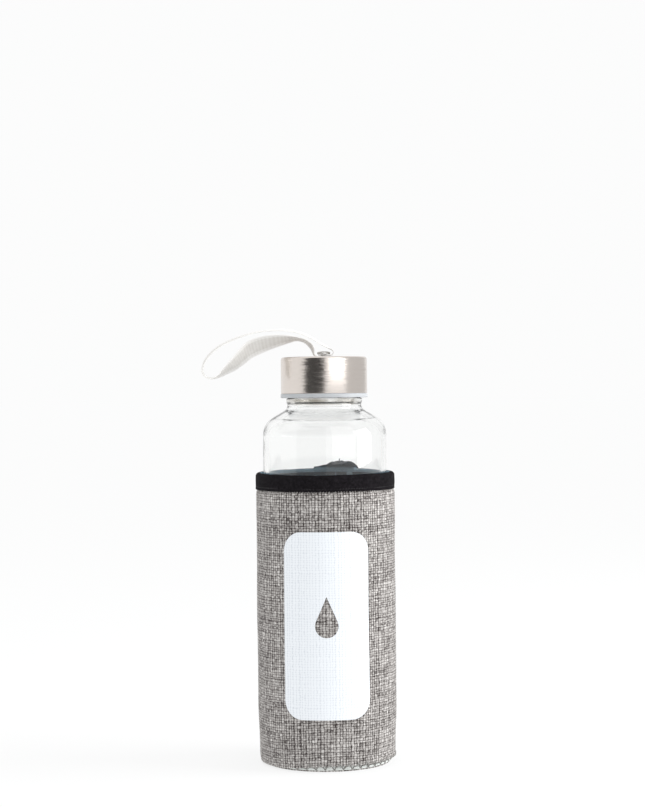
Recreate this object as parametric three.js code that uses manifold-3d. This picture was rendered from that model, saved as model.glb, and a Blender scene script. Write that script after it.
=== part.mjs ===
// A half-litre glass water bottle with a screw cap, a ribbon carrying loop and an insulating sleeve.
//
// Millimetres, +Z up. The origin is the middle of the sleeve's underside, on the bottle's axis, and -Y is
// the printed front. The bottle stands in its sleeve, the cap is screwed down, and the loop leans to -X.

import * as THREE from "three";
import { mergeVertices } from "three/addons/utils/BufferGeometryUtils.js";
import Module from "manifold-3d";

const wasm = await Module();
wasm.setup();

// ---- Fineness ---------------------------------------------------------------------------------------
const TURN_SIDES = 48; // flats round the bottle, the cap and the sleeve
const SMALL_SIDES = 20; // flats round the rivet and its washer
const ARC_STEP = THREE.MathUtils.degToRad(30); // largest turn between two points of a rounded corner

// ---- Clearances -------------------------------------------------------------------------------------
const LAYER_GAP = 0.05; // between coaxial pieces that lie against each other
const SEAT_GAP = 0.1; // between pieces that press on each other along the axis
const SLEEVE_FIT = 0.35; // radial room between the glass and the sleeve
const THREAD_FIT = 0.4; // radial room between a thread's crest and the wall that it faces
const SHANK_FIT = 0.25; // radial room round the rivet's shank

// ---- Glass bottle -----------------------------------------------------------------------------------
const GLASS_RADIUS = 32.5;
const GLASS_HEIGHT = 203.6; // foot to rim
const GLASS_WALL = 2.6;
const GLASS_FLOOR = 6;
const HEEL_ROUNDING = 5;
const PUNT_RADIUS = 23; // hollow in the underside
const PUNT_DEPTH = 1.8;
const SHOULDER_SLOPE = THREE.MathUtils.degToRad(31.5);
const SHOULDER_ROUNDING = 10;
const NECK_RADIUS = 18.9;
const NECK_WALL = 2.7;
const BEAD_STAND = 1.05; // how far the plain collar under the cap stands out of the neck
const BEAD_HEIGHT = 5.5;
const FINISH_HEIGHT = 15.9; // threaded neck, from the bead to the rim
const NECK_FLARE = 3; // inside fillet where the bead meets the shoulder

// ---- Screw thread, right-handed -----------------------------------------------------------------------
const THREAD_PITCH = 4.2;
const THREAD_TURNS = 1.3;
const THREAD_HEIGHT = 1.2; // how far a ridge stands out of its wall
const THREAD_ROOT = 2.6; // ridge width at the wall
const THREAD_CREST = 1.0; // ridge width at its crest
const THREAD_START = 3.3; // first ridge's height above the bead
const THREAD_FADE = 0.08; // share of a ridge that runs out at each end
const THREAD_STEPS = 42;

// ---- Cap --------------------------------------------------------------------------------------------
const SEAL_THICKNESS = 1.5;
const SEAL_WIDTH = 4.6;
const LINER_WALL = 1.65;
const LINER_TOP = 1.5;
const FLANGE_LIP = 0.85; // how far the liner's foot stands out past its skirt
const FLANGE_HEIGHT = 2.2;
const SHELL_WALL = 0.5;
const SHELL_ROUNDING = 1.4;
const RIVET_ROOM = 2.05; // hollow between the liner's top and the shell
const LINER_RIM = 1.6; // width of the liner's rim that holds the shell up

// ---- Rivet ------------------------------------------------------------------------------------------
const SHANK_RADIUS = 1.6;
const TAIL_RADIUS = 3.4;
const TAIL_THICKNESS = 0.6;
const WASHER_RADIUS = 5;
const WASHER_THICKNESS = 0.6;
const HEAD_RADIUS = 3.4;
const HEAD_SKIRT = 0.5;
const HEAD_DOME = 1;

// ---- Ribbon loop ------------------------------------------------------------------------------------
const RIBBON_WIDTH = 12;
const RIBBON_THICKNESS = 0.6;
const RIBBON_CUT = 0.15; // half the gap where the loop leaves the riveted ends
const RIBBON_STEP = 2; // pieces of mesh between two stations

// ---- Sleeve -----------------------------------------------------------------------------------------
const BARE_GLASS = 54.35; // how much of the bottle stands clear of the sleeve, from the binding to the rim
const FABRIC_THICKNESS = 0.7;
const FOAM_THICKNESS = 2.45;
const LINING_THICKNESS = 0.4;
const SQUEEZED_FOAM = 1.2; // the foam's thickness where the binding is sewn over it
const BASE_INSET = 0.8; // how much smaller the base disc is than the wall
const WALL_TUCK = 0.6; // how far the wall draws in at its foot
const TUCK_HEIGHT = 6;
const SEAM_ANGLE = THREE.MathUtils.degToRad(169); // from the front, round towards +X
const SEAM_SLIT = 0.5;
const BINDING_HEIGHT = 8.2; // outside leg of the tape
const BINDING_INSIDE = 7; // inside leg of the tape
const BINDING_THICKNESS = 0.65;
const BINDING_EASE = 2.6; // height over which the wall thins to go under the binding
const BINDING_LAP = { length: 27, height: 4.2, thickness: 2.7 }; // the tape's folded ends, over the seam

// ---- Thread and print -------------------------------------------------------------------------------
const THREAD_RADIUS = 0.28;
const BASE_STITCHES = 44;
const BASE_STITCH_REACH = 2.2; // how far a base stitch goes up the wall
const SEAM_STITCH_PITCH = 2.6;
const SEAM_STITCH_HALF_WIDTH = 2;
const PRINT_WIDTH = 43;
const PRINT_CORNER = 10;
const PRINT_FOOT = 27; // height of the print's lower edge
const PRINT_ROOM = 21.8; // plain cloth between the print and the binding
const PRINT_THICKNESS = 0.15;
const DROP_RADIUS = 6; // the plain water-drop opening in the print
const DROP_POINT = 15; // from the middle of the drop's round end to its point

// ---- Heights and radii that follow --------------------------------------------------------------------
const baseFoamZ = FABRIC_THICKNESS + LAYER_GAP;
const baseLiningZ = baseFoamZ + FOAM_THICKNESS + LAYER_GAP;
const baseTopZ = baseLiningZ + LINING_THICKNESS;
const wallFootZ = baseTopZ + LAYER_GAP;
const glassFootZ = baseTopZ + SEAT_GAP;
const rimZ = glassFootZ + GLASS_HEIGHT;
const beadTopZ = rimZ - FINISH_HEIGHT;
const beadFootZ = beadTopZ - BEAD_HEIGHT;
const sealZ = rimZ + SEAT_GAP;
const linerTopZ = sealZ + SEAL_THICKNESS + LAYER_GAP;
const rivetRoomZ = linerTopZ + LINER_TOP;
const shellInsideZ = rivetRoomZ + RIVET_ROOM;
const capTopZ = shellInsideZ + SHELL_WALL;
const flangeZ = beadTopZ + SEAT_GAP;
const threadZ = beadTopZ + THREAD_START;
const sleeveHeight = rimZ - BARE_GLASS; // underside to the top of the binding

const beadRadius = NECK_RADIUS + BEAD_STAND;
const neckBore = NECK_RADIUS - NECK_WALL;
const neckCrest = NECK_RADIUS + THREAD_HEIGHT;
const linerBore = neckCrest + THREAD_FIT;
const linerRadius = linerBore + LINER_WALL;
const shellBore = linerRadius + SEAT_GAP;
const shellRadius = shellBore + SHELL_WALL;
const shankHole = SHANK_RADIUS + SHANK_FIT;

const liningBore = GLASS_RADIUS + SLEEVE_FIT;
const foamBore = liningBore + LINING_THICKNESS + LAYER_GAP;
const fabricBore = foamBore + FOAM_THICKNESS + LAYER_GAP;
const sleeveRadius = fabricBore + FABRIC_THICKNESS;
const rimLiningBore = liningBore + BINDING_THICKNESS + LAYER_GAP;
const rimFoamBore = rimLiningBore + LINING_THICKNESS + LAYER_GAP;
const rimFabricBore = rimFoamBore + SQUEEZED_FOAM + LAYER_GAP;
const rimRadius = rimFabricBore + FABRIC_THICKNESS;
const bindingBore = rimRadius + LAYER_GAP;
const bindingRadius = bindingBore + BINDING_THICKNESS;
const wallTopZ = sleeveHeight - BINDING_THICKNESS - LAYER_GAP;
const bindingFootZ = sleeveHeight - BINDING_HEIGHT;
const baseRadius = sleeveRadius - BASE_INSET;
const seamFootZ = wallFootZ + TUCK_HEIGHT;
const seamTopZ = bindingFootZ - BINDING_EASE;
const printHeight = bindingFootZ - PRINT_ROOM - PRINT_FOOT;

// ---- Materials --------------------------------------------------------------------------------------
const finish = (color, roughness, metalness = 0, more = {}) =>
  new THREE.MeshStandardMaterial({ color, roughness, metalness, ...more });
const clearGlass = finish(0xe9f1ee, 0.03, 0, { transparent: true, opacity: 0.3 });
const brushedSteel = finish(0xc3bdb7, 0.35, 1);
const rivetSteel = finish(0xc9c8c6, 0.2, 1);
const frostedPlastic = finish(0xd3d8dd, 0.45);
const silicone = finish(0xe6e6e2, 0.6);
const satinRibbon = finish(0xe8e6e0, 0.55);
const linenCloth = finish(0x9e9b98, 0.95);
const paleFoam = finish(0xc9cdc8, 0.9);
const blackKnit = finish(0x1a1a20, 0.9);
const blackTape = finish(0x18161a, 0.8);
const greyThread = finish(0x77736f, 0.85);
const whiteInk = finish(0xf4f7fb, 0.6);

// ---- Solids -----------------------------------------------------------------------------------------

// A closed geometry as a manifold-3d solid with its faces pointing out.
function solid(geometry) {
  const plain = geometry.clone();
  plain.deleteAttribute("normal");
  plain.deleteAttribute("uv");
  const merged = mergeVertices(plain, 1e-4);
  const corners = merged.index.array;
  const triVerts = [];
  for (let i = 0; i < corners.length; i += 3) {
    const [a, b, c] = corners.slice(i, i + 3);
    if (a !== b && b !== c && c !== a) triVerts.push(a, b, c);
  }
  const build = () =>
    new wasm.Manifold(
      new wasm.Mesh({
        numProp: 3,
        vertProperties: merged.attributes.position.array,
        triVerts: new Uint32Array(triVerts),
      }),
    );
  const made = build();
  if (made.volume() > 0) return made;
  triVerts.reverse();
  return build();
}

// A named mesh from a solid.
function piece(name, shape, material) {
  const { numVert, numProp, vertProperties, triVerts } = shape.getMesh();
  const positions = new Float32Array(numVert * 3);
  for (let i = 0; i < numVert; i++) {
    positions.set(vertProperties.subarray(i * numProp, i * numProp + 3), i * 3);
  }
  const geometry = new THREE.BufferGeometry();
  geometry.setAttribute("position", new THREE.BufferAttribute(positions, 3));
  geometry.setIndex(new THREE.BufferAttribute(triVerts, 1));
  geometry.computeVertexNormals();
  const mesh = new THREE.Mesh(geometry, material);
  mesh.name = name;
  return mesh;
}

// Corners [radius, height, rounding] as points, each rounded corner as an arc.
function outline(corners) {
  const at = (i) => new THREE.Vector2(corners.at(i % corners.length)[0], corners.at(i % corners.length)[1]);
  return corners.flatMap(([, , rounding = 0], i) => {
    const here = at(i);
    if (!rounding) return [here];
    const back = at(i - 1).sub(here).normalize();
    const on = at(i + 1).sub(here).normalize();
    const half = Math.acos(back.dot(on)) / 2;
    const centre = back.clone().add(on).setLength(rounding / Math.sin(half)).add(here);
    const first = back.clone().setLength(rounding / Math.tan(half)).add(here).sub(centre);
    const turn = (Math.PI - 2 * half) * Math.sign(on.cross(back));
    const steps = Math.ceil(Math.abs(turn) / ARC_STEP);
    return Array.from({ length: steps + 1 }, (_, k) =>
      first.clone().rotateAround(new THREE.Vector2(), (turn * k) / steps).add(centre),
    );
  });
}

// A solid of revolution about Z: a closed outline, or one that starts and ends on the axis.
function turned(corners, sides = TURN_SIDES) {
  const points = outline(corners);
  if (points[0].x > 0) points.push(points[0].clone());
  return solid(new THREE.LatheGeometry(points, sides).rotateX(Math.PI / 2));
}

// A cylinder on the axis, from one height to another.
function rod(radius, low, high) {
  const geometry = new THREE.CylinderGeometry(radius, radius, high - low, SMALL_SIDES);
  return solid(geometry.rotateX(Math.PI / 2).translate(0, 0, (low + high) / 2));
}

// A bar bent along a path: place(u, v, w) gives the point for u from 0 to 1 and v, w from -0.5 to 0.5.
function bentBar(steps, place) {
  const geometry = new THREE.BoxGeometry(1, 1, 1, steps, 1, 1);
  const points = geometry.attributes.position;
  for (let i = 0; i < points.count; i++) {
    const p = place(points.getX(i) + 0.5, points.getY(i), points.getZ(i));
    points.setXYZ(i, p.x, p.y, p.z);
  }
  return solid(geometry);
}

// The point at an angle from the front, round towards +X.
const around = (angle, radius, z) =>
  new THREE.Vector3(radius * Math.sin(angle), -radius * Math.cos(angle), z);

// A helical ridge on a wall. It stands out by THREAD_HEIGHT, outwards (side 1) or inwards (side -1).
function threadRidge(wallRadius, side, startZ) {
  const buried = 0.4;
  return bentBar(THREAD_STEPS, (u, v, w) => {
    const fade = Math.min(1, u / THREAD_FADE, (1 - u) / THREAD_FADE);
    const atCrest = v > 0;
    const out = atCrest ? THREAD_HEIGHT * fade : -buried;
    const width = (atCrest ? THREAD_CREST : THREAD_ROOT) * Math.max(fade, 0.3);
    const turns = u * THREAD_TURNS;
    return around(turns * 2 * Math.PI, wallRadius + side * out, startZ + turns * THREAD_PITCH + w * width);
  });
}

// ---- Glass ------------------------------------------------------------------------------------------
function glassBottle() {
  const inside = GLASS_RADIUS - GLASS_WALL;
  const shoulderDrop = (radius) => (radius - beadRadius) * Math.tan(SHOULDER_SLOPE);
  const shoulderZ = beadFootZ - shoulderDrop(GLASS_RADIUS);
  const boreFootZ = beadFootZ - GLASS_WALL / 2;
  const innerShoulderZ = boreFootZ - (inside - neckBore) * Math.tan(SHOULDER_SLOPE);
  const body = turned([
    [0, glassFootZ + PUNT_DEPTH],
    [PUNT_RADIUS, glassFootZ + PUNT_DEPTH, 2],
    [PUNT_RADIUS + PUNT_DEPTH, glassFootZ, 1],
    [GLASS_RADIUS, glassFootZ, HEEL_ROUNDING],
    [GLASS_RADIUS, shoulderZ, SHOULDER_ROUNDING],
    [beadRadius, beadFootZ, NECK_FLARE],
    [beadRadius, beadTopZ, 0.5],
    [NECK_RADIUS, beadTopZ],
    [NECK_RADIUS, rimZ, 0.8],
    [neckBore, rimZ, 1],
    [neckBore, boreFootZ, NECK_FLARE],
    [inside, innerShoulderZ, SHOULDER_ROUNDING - GLASS_WALL / 2],
    [inside, glassFootZ + GLASS_FLOOR, HEEL_ROUNDING],
    [0, glassFootZ + GLASS_FLOOR],
  ]);
  return piece("glass_bottle", body.add(threadRidge(NECK_RADIUS, 1, threadZ)), clearGlass);
}

// ---- Cap --------------------------------------------------------------------------------------------
function capSeal() {
  const outer = linerBore - SEAT_GAP;
  const ring = turned([
    [outer - SEAL_WIDTH, sealZ],
    [outer, sealZ],
    [outer, sealZ + SEAL_THICKNESS],
    [outer - SEAL_WIDTH, sealZ + SEAL_THICKNESS],
  ]);
  return piece("cap_seal", ring, silicone);
}

function capLiner() {
  const rimInside = linerRadius - LINER_RIM;
  const flangeRadius = linerRadius + FLANGE_LIP;
  const rimTopZ = shellInsideZ - SEAT_GAP;
  const body = turned([
    [0, linerTopZ],
    [linerBore, linerTopZ],
    [linerBore, flangeZ + 0.8],
    [linerBore + 0.5, flangeZ],
    [flangeRadius, flangeZ, 0.5],
    [flangeRadius, flangeZ + FLANGE_HEIGHT, 0.3],
    [linerRadius, flangeZ + FLANGE_HEIGHT],
    [linerRadius, rimTopZ, SHELL_ROUNDING - SHELL_WALL + SEAT_GAP],
    [rimInside, rimTopZ],
    [rimInside, rivetRoomZ],
    [0, rivetRoomZ],
  ]);
  const ridge = threadRidge(linerBore, -1, threadZ + THREAD_PITCH / 2);
  return piece("cap_liner", body.add(ridge), frostedPlastic);
}

function capShell() {
  const footZ = flangeZ + FLANGE_HEIGHT + LAYER_GAP;
  const cup = turned([
    [shankHole, shellInsideZ],
    [shellBore, shellInsideZ, SHELL_ROUNDING - SHELL_WALL],
    [shellBore, footZ],
    [shellRadius, footZ],
    [shellRadius, capTopZ, SHELL_ROUNDING],
    [shankHole, capTopZ],
  ]);
  return piece("cap_shell", cup, brushedSteel);
}

// ---- Rivet, in two halves, and its washer -------------------------------------------------------------
const washerZ = shellInsideZ - LAYER_GAP - WASHER_THICKNESS;
const tailZ = washerZ - LAYER_GAP - TAIL_THICKNESS;
const lowerRibbonZ = SEAT_GAP + RIBBON_THICKNESS / 2; // middles of the two riveted ends, above the cap
const upperRibbonZ = lowerRibbonZ + RIBBON_THICKNESS + SEAT_GAP;
const headZ = capTopZ + upperRibbonZ + RIBBON_THICKNESS / 2 + LAYER_GAP;

function rivetPost() {
  const shankTopZ = headZ + HEAD_SKIRT;
  const post = turned(
    [
      [0, tailZ],
      [TAIL_RADIUS, tailZ, 0.2],
      [TAIL_RADIUS, tailZ + TAIL_THICKNESS],
      [SHANK_RADIUS, tailZ + TAIL_THICKNESS],
      [SHANK_RADIUS, shankTopZ],
      [0, shankTopZ],
    ],
    SMALL_SIDES,
  );
  return piece("rivet_post", post, rivetSteel);
}

function rivetHead() {
  const topZ = headZ + HEAD_SKIRT + HEAD_DOME;
  const head = turned(
    [
      [0, headZ + HEAD_SKIRT + SEAT_GAP],
      [shankHole, headZ + HEAD_SKIRT + SEAT_GAP],
      [shankHole, headZ],
      [HEAD_RADIUS, headZ, 0.2],
      [HEAD_RADIUS, topZ - 0.2, 0.7],
      [0, topZ],
    ],
    SMALL_SIDES,
  );
  return piece("rivet_head", head, rivetSteel);
}

function rivetWasher() {
  const washer = turned(
    [
      [shankHole, washerZ],
      [WASHER_RADIUS, washerZ],
      [WASHER_RADIUS, washerZ + WASHER_THICKNESS],
      [shankHole, washerZ + WASHER_THICKNESS],
    ],
    SMALL_SIDES,
  );
  return piece("rivet_washer", washer, rivetSteel);
}

// ---- Ribbon loop ------------------------------------------------------------------------------------

// Stations along the ribbon, from the lower riveted end round to the upper one: the near edge's x and z,
// then the far edge's, above the middle of the cap's top. The edges lie apart in y by what is left of the width.
const RIBBON_STATIONS = [
  [3.6, lowerRibbonZ, 3.6, lowerRibbonZ],
  [-1.2, lowerRibbonZ, -1.2, lowerRibbonZ],
  [-3.9, 0.5, -3.9, 0.5],
  [-4.9, 1.4, -4.9, 1.4],
  [-5.2, 2.8, -5.2, 2.8],
  [-5.6, 4.6, -5.6, 4.6],
  [-6.7, 6.4, -6.7, 6.4],
  [-8.7, 8.3, -8.6, 8.2],
  [-11.4, 9.9, -11.1, 9.3],
  [-15.4, 11.2, -14.8, 9.2],
  [-23.0, 12.0, -22.4, 6.8],
  [-32.2, 11.3, -31.0, 3.6],
  [-39.6, 8.9, -37.6, 0.6],
  [-45.0, 4.0, -42.4, -2.9],
  [-49.4, -0.8, -46.8, -5.8],
  [-53.2, -5.4, -51.8, -8.2],
  [-56.2, -9.0, -56.2, -10.0],
  [-59.9, -10.2, -60.6, -10.4],
  [-63.0, -8.0, -64.2, -7.8],
  [-62.4, -3.4, -63.6, -2.2],
  [-58.6, 1.8, -59.6, 3.2],
  [-53.0, 6.1, -53.6, 7.6],
  [-46.2, 9.2, -46.5, 10.7],
  [-38.0, 11.9, -38.2, 13.1],
  [-29.0, 13.6, -29.1, 14.4],
  [-20.0, 13.8, -20.0, 14.3],
  [-12.6, 12.4, -12.6, 12.4],
  [-6.4, 9.7, -6.4, 9.7],
  [-1.5, 6.7, -1.5, 6.7],
  [1.8, 5.0, 1.8, 5.0],
  [4.1, 3.7, 4.1, 3.7],
  [5.0, 2.4, 5.0, 2.4],
  [4.6, 1.4, 4.6, 1.4],
  [3.6, upperRibbonZ, 3.6, upperRibbonZ],
  [1.2, upperRibbonZ, 1.2, upperRibbonZ],
  [-2.9, upperRibbonZ, -2.9, upperRibbonZ],
];
const LOOP_START = 6; // the stations where the free loop leaves the riveted ends
const LOOP_END = 28;

// One edge of the ribbon: near, -1, or far, 1.
function ribbonEdge(side) {
  const points = RIBBON_STATIONS.map(([nearX, nearZ, farX, farZ]) => {
    const halfY = Math.sqrt((RIBBON_WIDTH / 2) ** 2 - ((farX - nearX) ** 2 + (farZ - nearZ) ** 2) / 4);
    const [x, z] = side < 0 ? [nearX, nearZ] : [farX, farZ];
    return new THREE.Vector3(x, side * halfY, capTopZ + z);
  });
  return new THREE.CatmullRomCurve3(points, false, "centripetal");
}

// The ribbon from one station to another, stopping a little short of each end that is cut.
function ribbon(from, to) {
  const near = ribbonEdge(-1);
  const far = ribbonEdge(1);
  const last = RIBBON_STATIONS.length - 1;
  const middle = (t) => near.getPoint(t).lerp(far.getPoint(t), 0.5);
  const shorten = (station, way) => {
    if (station === 0 || station === last) return station / last;
    const step = middle(station / last).distanceTo(middle((station + way) / last));
    return (station + (way * RIBBON_CUT) / step) / last;
  };
  const start = shorten(from, 1);
  const end = shorten(to, -1);
  const nudge = 1e-4;
  return bentBar((to - from) * RIBBON_STEP, (u, v, w) => {
    const t = THREE.MathUtils.lerp(start, end, u);
    const before = middle(Math.max(0, t - nudge));
    const along = middle(Math.min(1, t + nudge)).sub(before).normalize();
    const across = far.getPoint(t).sub(near.getPoint(t)).normalize();
    const through = new THREE.Vector3().crossVectors(along, across).normalize();
    return middle(t)
      .addScaledVector(across, v * RIBBON_WIDTH)
      .addScaledVector(through, w * RIBBON_THICKNESS);
  });
}

function strapEnd(name, from, to) {
  const hole = rod(shankHole, capTopZ - 1, headZ + 1);
  return piece(name, ribbon(from, to).subtract(hole), satinRibbon);
}

function strapLoop() {
  return piece("strap_loop", ribbon(LOOP_START, LOOP_END), satinRibbon);
}

// ---- Sleeve wall ------------------------------------------------------------------------------------

// One layer of the wall, as a tube that is slit down the seam. Its top is squeezed under the binding, and
// its outside is drawn in at the foot by the tuck.
function wallLayer(name, bore, thickness, rimBore, rimThickness, tuck, material) {
  const tube = turned([
    [bore, wallFootZ],
    [bore + thickness - tuck, wallFootZ],
    [bore + thickness, seamFootZ],
    [bore + thickness, seamTopZ],
    [rimBore + rimThickness, bindingFootZ - LAYER_GAP],
    [rimBore + rimThickness, wallTopZ],
    [rimBore, wallTopZ],
    [rimBore, bindingFootZ - LAYER_GAP],
    [bore, seamTopZ],
  ]);
  const reach = 2 * sleeveRadius;
  const blade = new THREE.BoxGeometry(SEAM_SLIT, reach, 2 * sleeveHeight);
  blade.translate(0, -reach / 2, sleeveHeight).rotateZ(SEAM_ANGLE);
  return piece(name, tube.subtract(solid(blade)), material);
}

// ---- Sleeve base ------------------------------------------------------------------------------------
function baseDisc(name, low, thickness, radius, material) {
  const disc = turned([
    [0, low],
    [radius, low],
    [radius, low + thickness],
    [0, low + thickness],
  ]);
  return piece(name, disc, material);
}

// ---- Binding ----------------------------------------------------------------------------------------
function topBinding() {
  const insideFootZ = sleeveHeight - BINDING_INSIDE;
  const fold = (bindingRadius - liningBore) / 2 - 0.1;
  const tape = turned([
    [liningBore, insideFootZ],
    [liningBore + BINDING_THICKNESS, insideFootZ],
    [liningBore + BINDING_THICKNESS, wallTopZ + LAYER_GAP],
    [bindingBore, wallTopZ + LAYER_GAP],
    [bindingBore, bindingFootZ],
    [bindingRadius, bindingFootZ],
    [bindingRadius, sleeveHeight, fold],
    [liningBore, sleeveHeight, fold],
  ]);
  const { length, height, thickness } = BINDING_LAP;
  const rimMiddle = (liningBore + bindingRadius) / 2;
  const lap = bentBar(12, (u, v, w) => {
    const angle = SEAM_ANGLE + ((u - 0.5) * length) / rimMiddle;
    const top = sleeveHeight + height * Math.sin(Math.PI * u);
    return around(angle, rimMiddle - v * thickness, w > 0 ? top : wallTopZ + 2 * LAYER_GAP);
  });
  return piece("top_binding", tape.add(lap), blackTape);
}

// ---- Sewing thread ----------------------------------------------------------------------------------

// A zigzag round the foot, which sews the wall to the base. It starts and ends at the seam.
function baseStitch() {
  const reach = wallFootZ + BASE_STITCH_REACH;
  const legs = 2 * BASE_STITCHES;
  const clear = THREAD_RADIUS + LAYER_GAP * 3;
  const turn = 2 * Math.PI - (4 * THREAD_RADIUS) / baseRadius;
  const thread = bentBar(legs, (u, v, w) => {
    const high = Math.round(u * legs) % 2;
    const wall = high ? sleeveRadius : baseRadius;
    const z = high ? reach : 2 * FABRIC_THICKNESS;
    return around(SEAM_ANGLE + u * turn, wall + clear - v * 2 * THREAD_RADIUS, z + w * 4 * THREAD_RADIUS);
  });
  return piece("base_stitch", thread, greyThread);
}

// A row of thread round the lower edge of the binding.
function bindingStitch() {
  const radius = bindingRadius + THREAD_RADIUS + LAYER_GAP;
  const ring = new THREE.TorusGeometry(radius, THREAD_RADIUS, 5, TURN_SIDES);
  ring.rotateZ(-Math.PI / 2).translate(0, 0, bindingFootZ + 1);
  return piece("binding_stitch", solid(ring), blackTape);
}

// A zigzag up the back, which draws the wall's two edges together.
function seamStitch() {
  const legs = Math.floor((seamTopZ - seamFootZ) / SEAM_STITCH_PITCH);
  const radius = sleeveRadius + THREAD_RADIUS + LAYER_GAP * 3;
  const thread = bentBar(legs, (u, v, w) => {
    const side = Math.round(u * legs) % 2 ? 1 : -1;
    const across = side * SEAM_STITCH_HALF_WIDTH - w * 4 * THREAD_RADIUS;
    const out = radius + v * 2 * THREAD_RADIUS;
    return around(SEAM_ANGLE + across / radius, out, THREE.MathUtils.lerp(seamFootZ, seamTopZ, u));
  });
  return piece("seam_stitch", thread, greyThread);
}

// ---- Print ------------------------------------------------------------------------------------------

// A plain panel of ink with round corners and a water-drop opening, laid on the front of the cloth.
function frontPrint() {
  const x = PRINT_WIDTH / 2;
  const z = printHeight / 2;
  const panel = new THREE.Shape();
  panel.moveTo(-x + PRINT_CORNER, -z);
  panel.lineTo(x - PRINT_CORNER, -z);
  panel.absarc(x - PRINT_CORNER, -z + PRINT_CORNER, PRINT_CORNER, -Math.PI / 2, 0);
  panel.absarc(x - PRINT_CORNER, z - PRINT_CORNER, PRINT_CORNER, 0, Math.PI / 2);
  panel.absarc(-x + PRINT_CORNER, z - PRINT_CORNER, PRINT_CORNER, Math.PI / 2, Math.PI);
  panel.absarc(-x + PRINT_CORNER, -z + PRINT_CORNER, PRINT_CORNER, Math.PI, 1.5 * Math.PI);
  const lean = Math.acos(DROP_RADIUS / DROP_POINT);
  const drop = new THREE.Path();
  drop.absarc(0, 0, DROP_RADIUS, Math.PI / 2 - lean, Math.PI / 2 + lean, true);
  drop.lineTo(0, DROP_POINT);
  panel.holes.push(drop);
  const depth = 2 * sleeveRadius;
  const block = new THREE.ExtrudeGeometry(panel, { depth, curveSegments: 6, bevelEnabled: false });
  block.rotateX(Math.PI / 2).translate(0, 0, PRINT_FOOT + z);
  const bore = sleeveRadius + LAYER_GAP;
  const skin = turned([
    [bore, seamFootZ],
    [bore + PRINT_THICKNESS, seamFootZ],
    [bore + PRINT_THICKNESS, seamTopZ],
    [bore, seamTopZ],
  ]);
  return piece("front_print", skin.intersect(solid(block)), whiteInk);
}

// ---- Assembly ---------------------------------------------------------------------------------------
const sleeve = new THREE.Group();
sleeve.add(
  baseDisc("base_fabric", 0, FABRIC_THICKNESS, baseRadius - 0.3, linenCloth),
  baseDisc("base_foam", baseFoamZ, FOAM_THICKNESS, baseRadius, paleFoam),
  baseDisc("base_lining", baseLiningZ, LINING_THICKNESS, baseRadius - 0.3, blackKnit),
  wallLayer("sleeve_lining", liningBore, LINING_THICKNESS, rimLiningBore, LINING_THICKNESS, 0, blackKnit),
  wallLayer("sleeve_foam", foamBore, FOAM_THICKNESS, rimFoamBore, SQUEEZED_FOAM, 0, paleFoam),
  wallLayer("sleeve_fabric", fabricBore, FABRIC_THICKNESS, rimFabricBore, FABRIC_THICKNESS, WALL_TUCK, linenCloth),
  topBinding(),
  bindingStitch(),
  seamStitch(),
  baseStitch(),
  frontPrint(),
);

const cap = new THREE.Group();
cap.add(capSeal(), capLiner(), capShell(), rivetPost(), rivetWasher(), rivetHead());

const strap = new THREE.Group();
strap.add(
  strapEnd("strap_end_lower", 0, LOOP_START),
  strapEnd("strap_end_upper", LOOP_END, RIBBON_STATIONS.length - 1),
  strapLoop(),
);

const bottle = new THREE.Group();
bottle.add(glassBottle(), cap, strap, sleeve);

export default bottle;
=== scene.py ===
# %% [markdown]
# # A glass water bottle in its sleeve
# A clear bottle stands in an insulating sleeve of slubby cloth. Its screw cap is clad in brushed steel, and
# a ribbon loop is riveted to the cap. This lesson dresses a imported CAD model of it: each visible piece is
# modelled again in Blender, finely, in the space that the CAD piece holds, and all but the ribbon ride on the
# same body.
# The scene is in metres, with Z up and the printed front towards -Y. Most measures below are given in
# millimetres, and MM turns them into metres.

# %% Load the frame
import math

import bpy
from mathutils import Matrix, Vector, noise


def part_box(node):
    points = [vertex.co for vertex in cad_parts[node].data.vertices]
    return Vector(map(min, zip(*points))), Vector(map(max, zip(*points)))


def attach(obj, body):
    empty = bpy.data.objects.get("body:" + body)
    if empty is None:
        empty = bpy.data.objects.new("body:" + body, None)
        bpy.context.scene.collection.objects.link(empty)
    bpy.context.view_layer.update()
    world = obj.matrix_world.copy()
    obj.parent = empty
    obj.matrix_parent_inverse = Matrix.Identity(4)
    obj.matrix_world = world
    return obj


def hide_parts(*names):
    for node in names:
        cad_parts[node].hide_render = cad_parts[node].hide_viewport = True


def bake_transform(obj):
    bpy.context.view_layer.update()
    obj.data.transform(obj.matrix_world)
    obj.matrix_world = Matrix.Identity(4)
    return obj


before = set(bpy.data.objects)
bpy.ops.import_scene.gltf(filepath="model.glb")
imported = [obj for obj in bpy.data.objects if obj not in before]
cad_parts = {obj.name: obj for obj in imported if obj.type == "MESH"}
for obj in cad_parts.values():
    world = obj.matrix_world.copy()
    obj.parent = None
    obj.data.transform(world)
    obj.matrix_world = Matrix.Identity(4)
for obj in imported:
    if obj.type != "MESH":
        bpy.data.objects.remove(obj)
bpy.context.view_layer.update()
MM = 0.001
print("nodes:", sorted(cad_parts))

# %% [markdown]
# ## Places and sizes
# Most places come from the frame. A node's box gives its heights, and half its width gives its radius, for
# nearly all of this object is round about the Z axis. What a box can't tell, such as the thickness of a wall,
# is a named value where it is first needed.


# %% Read the places from the frame
def span(node):
    """A node's lowest height, highest height and radius, in millimetres."""
    low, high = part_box(node)
    return low.z / MM, high.z / MM, max(high.x, high.y) / MM


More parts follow.
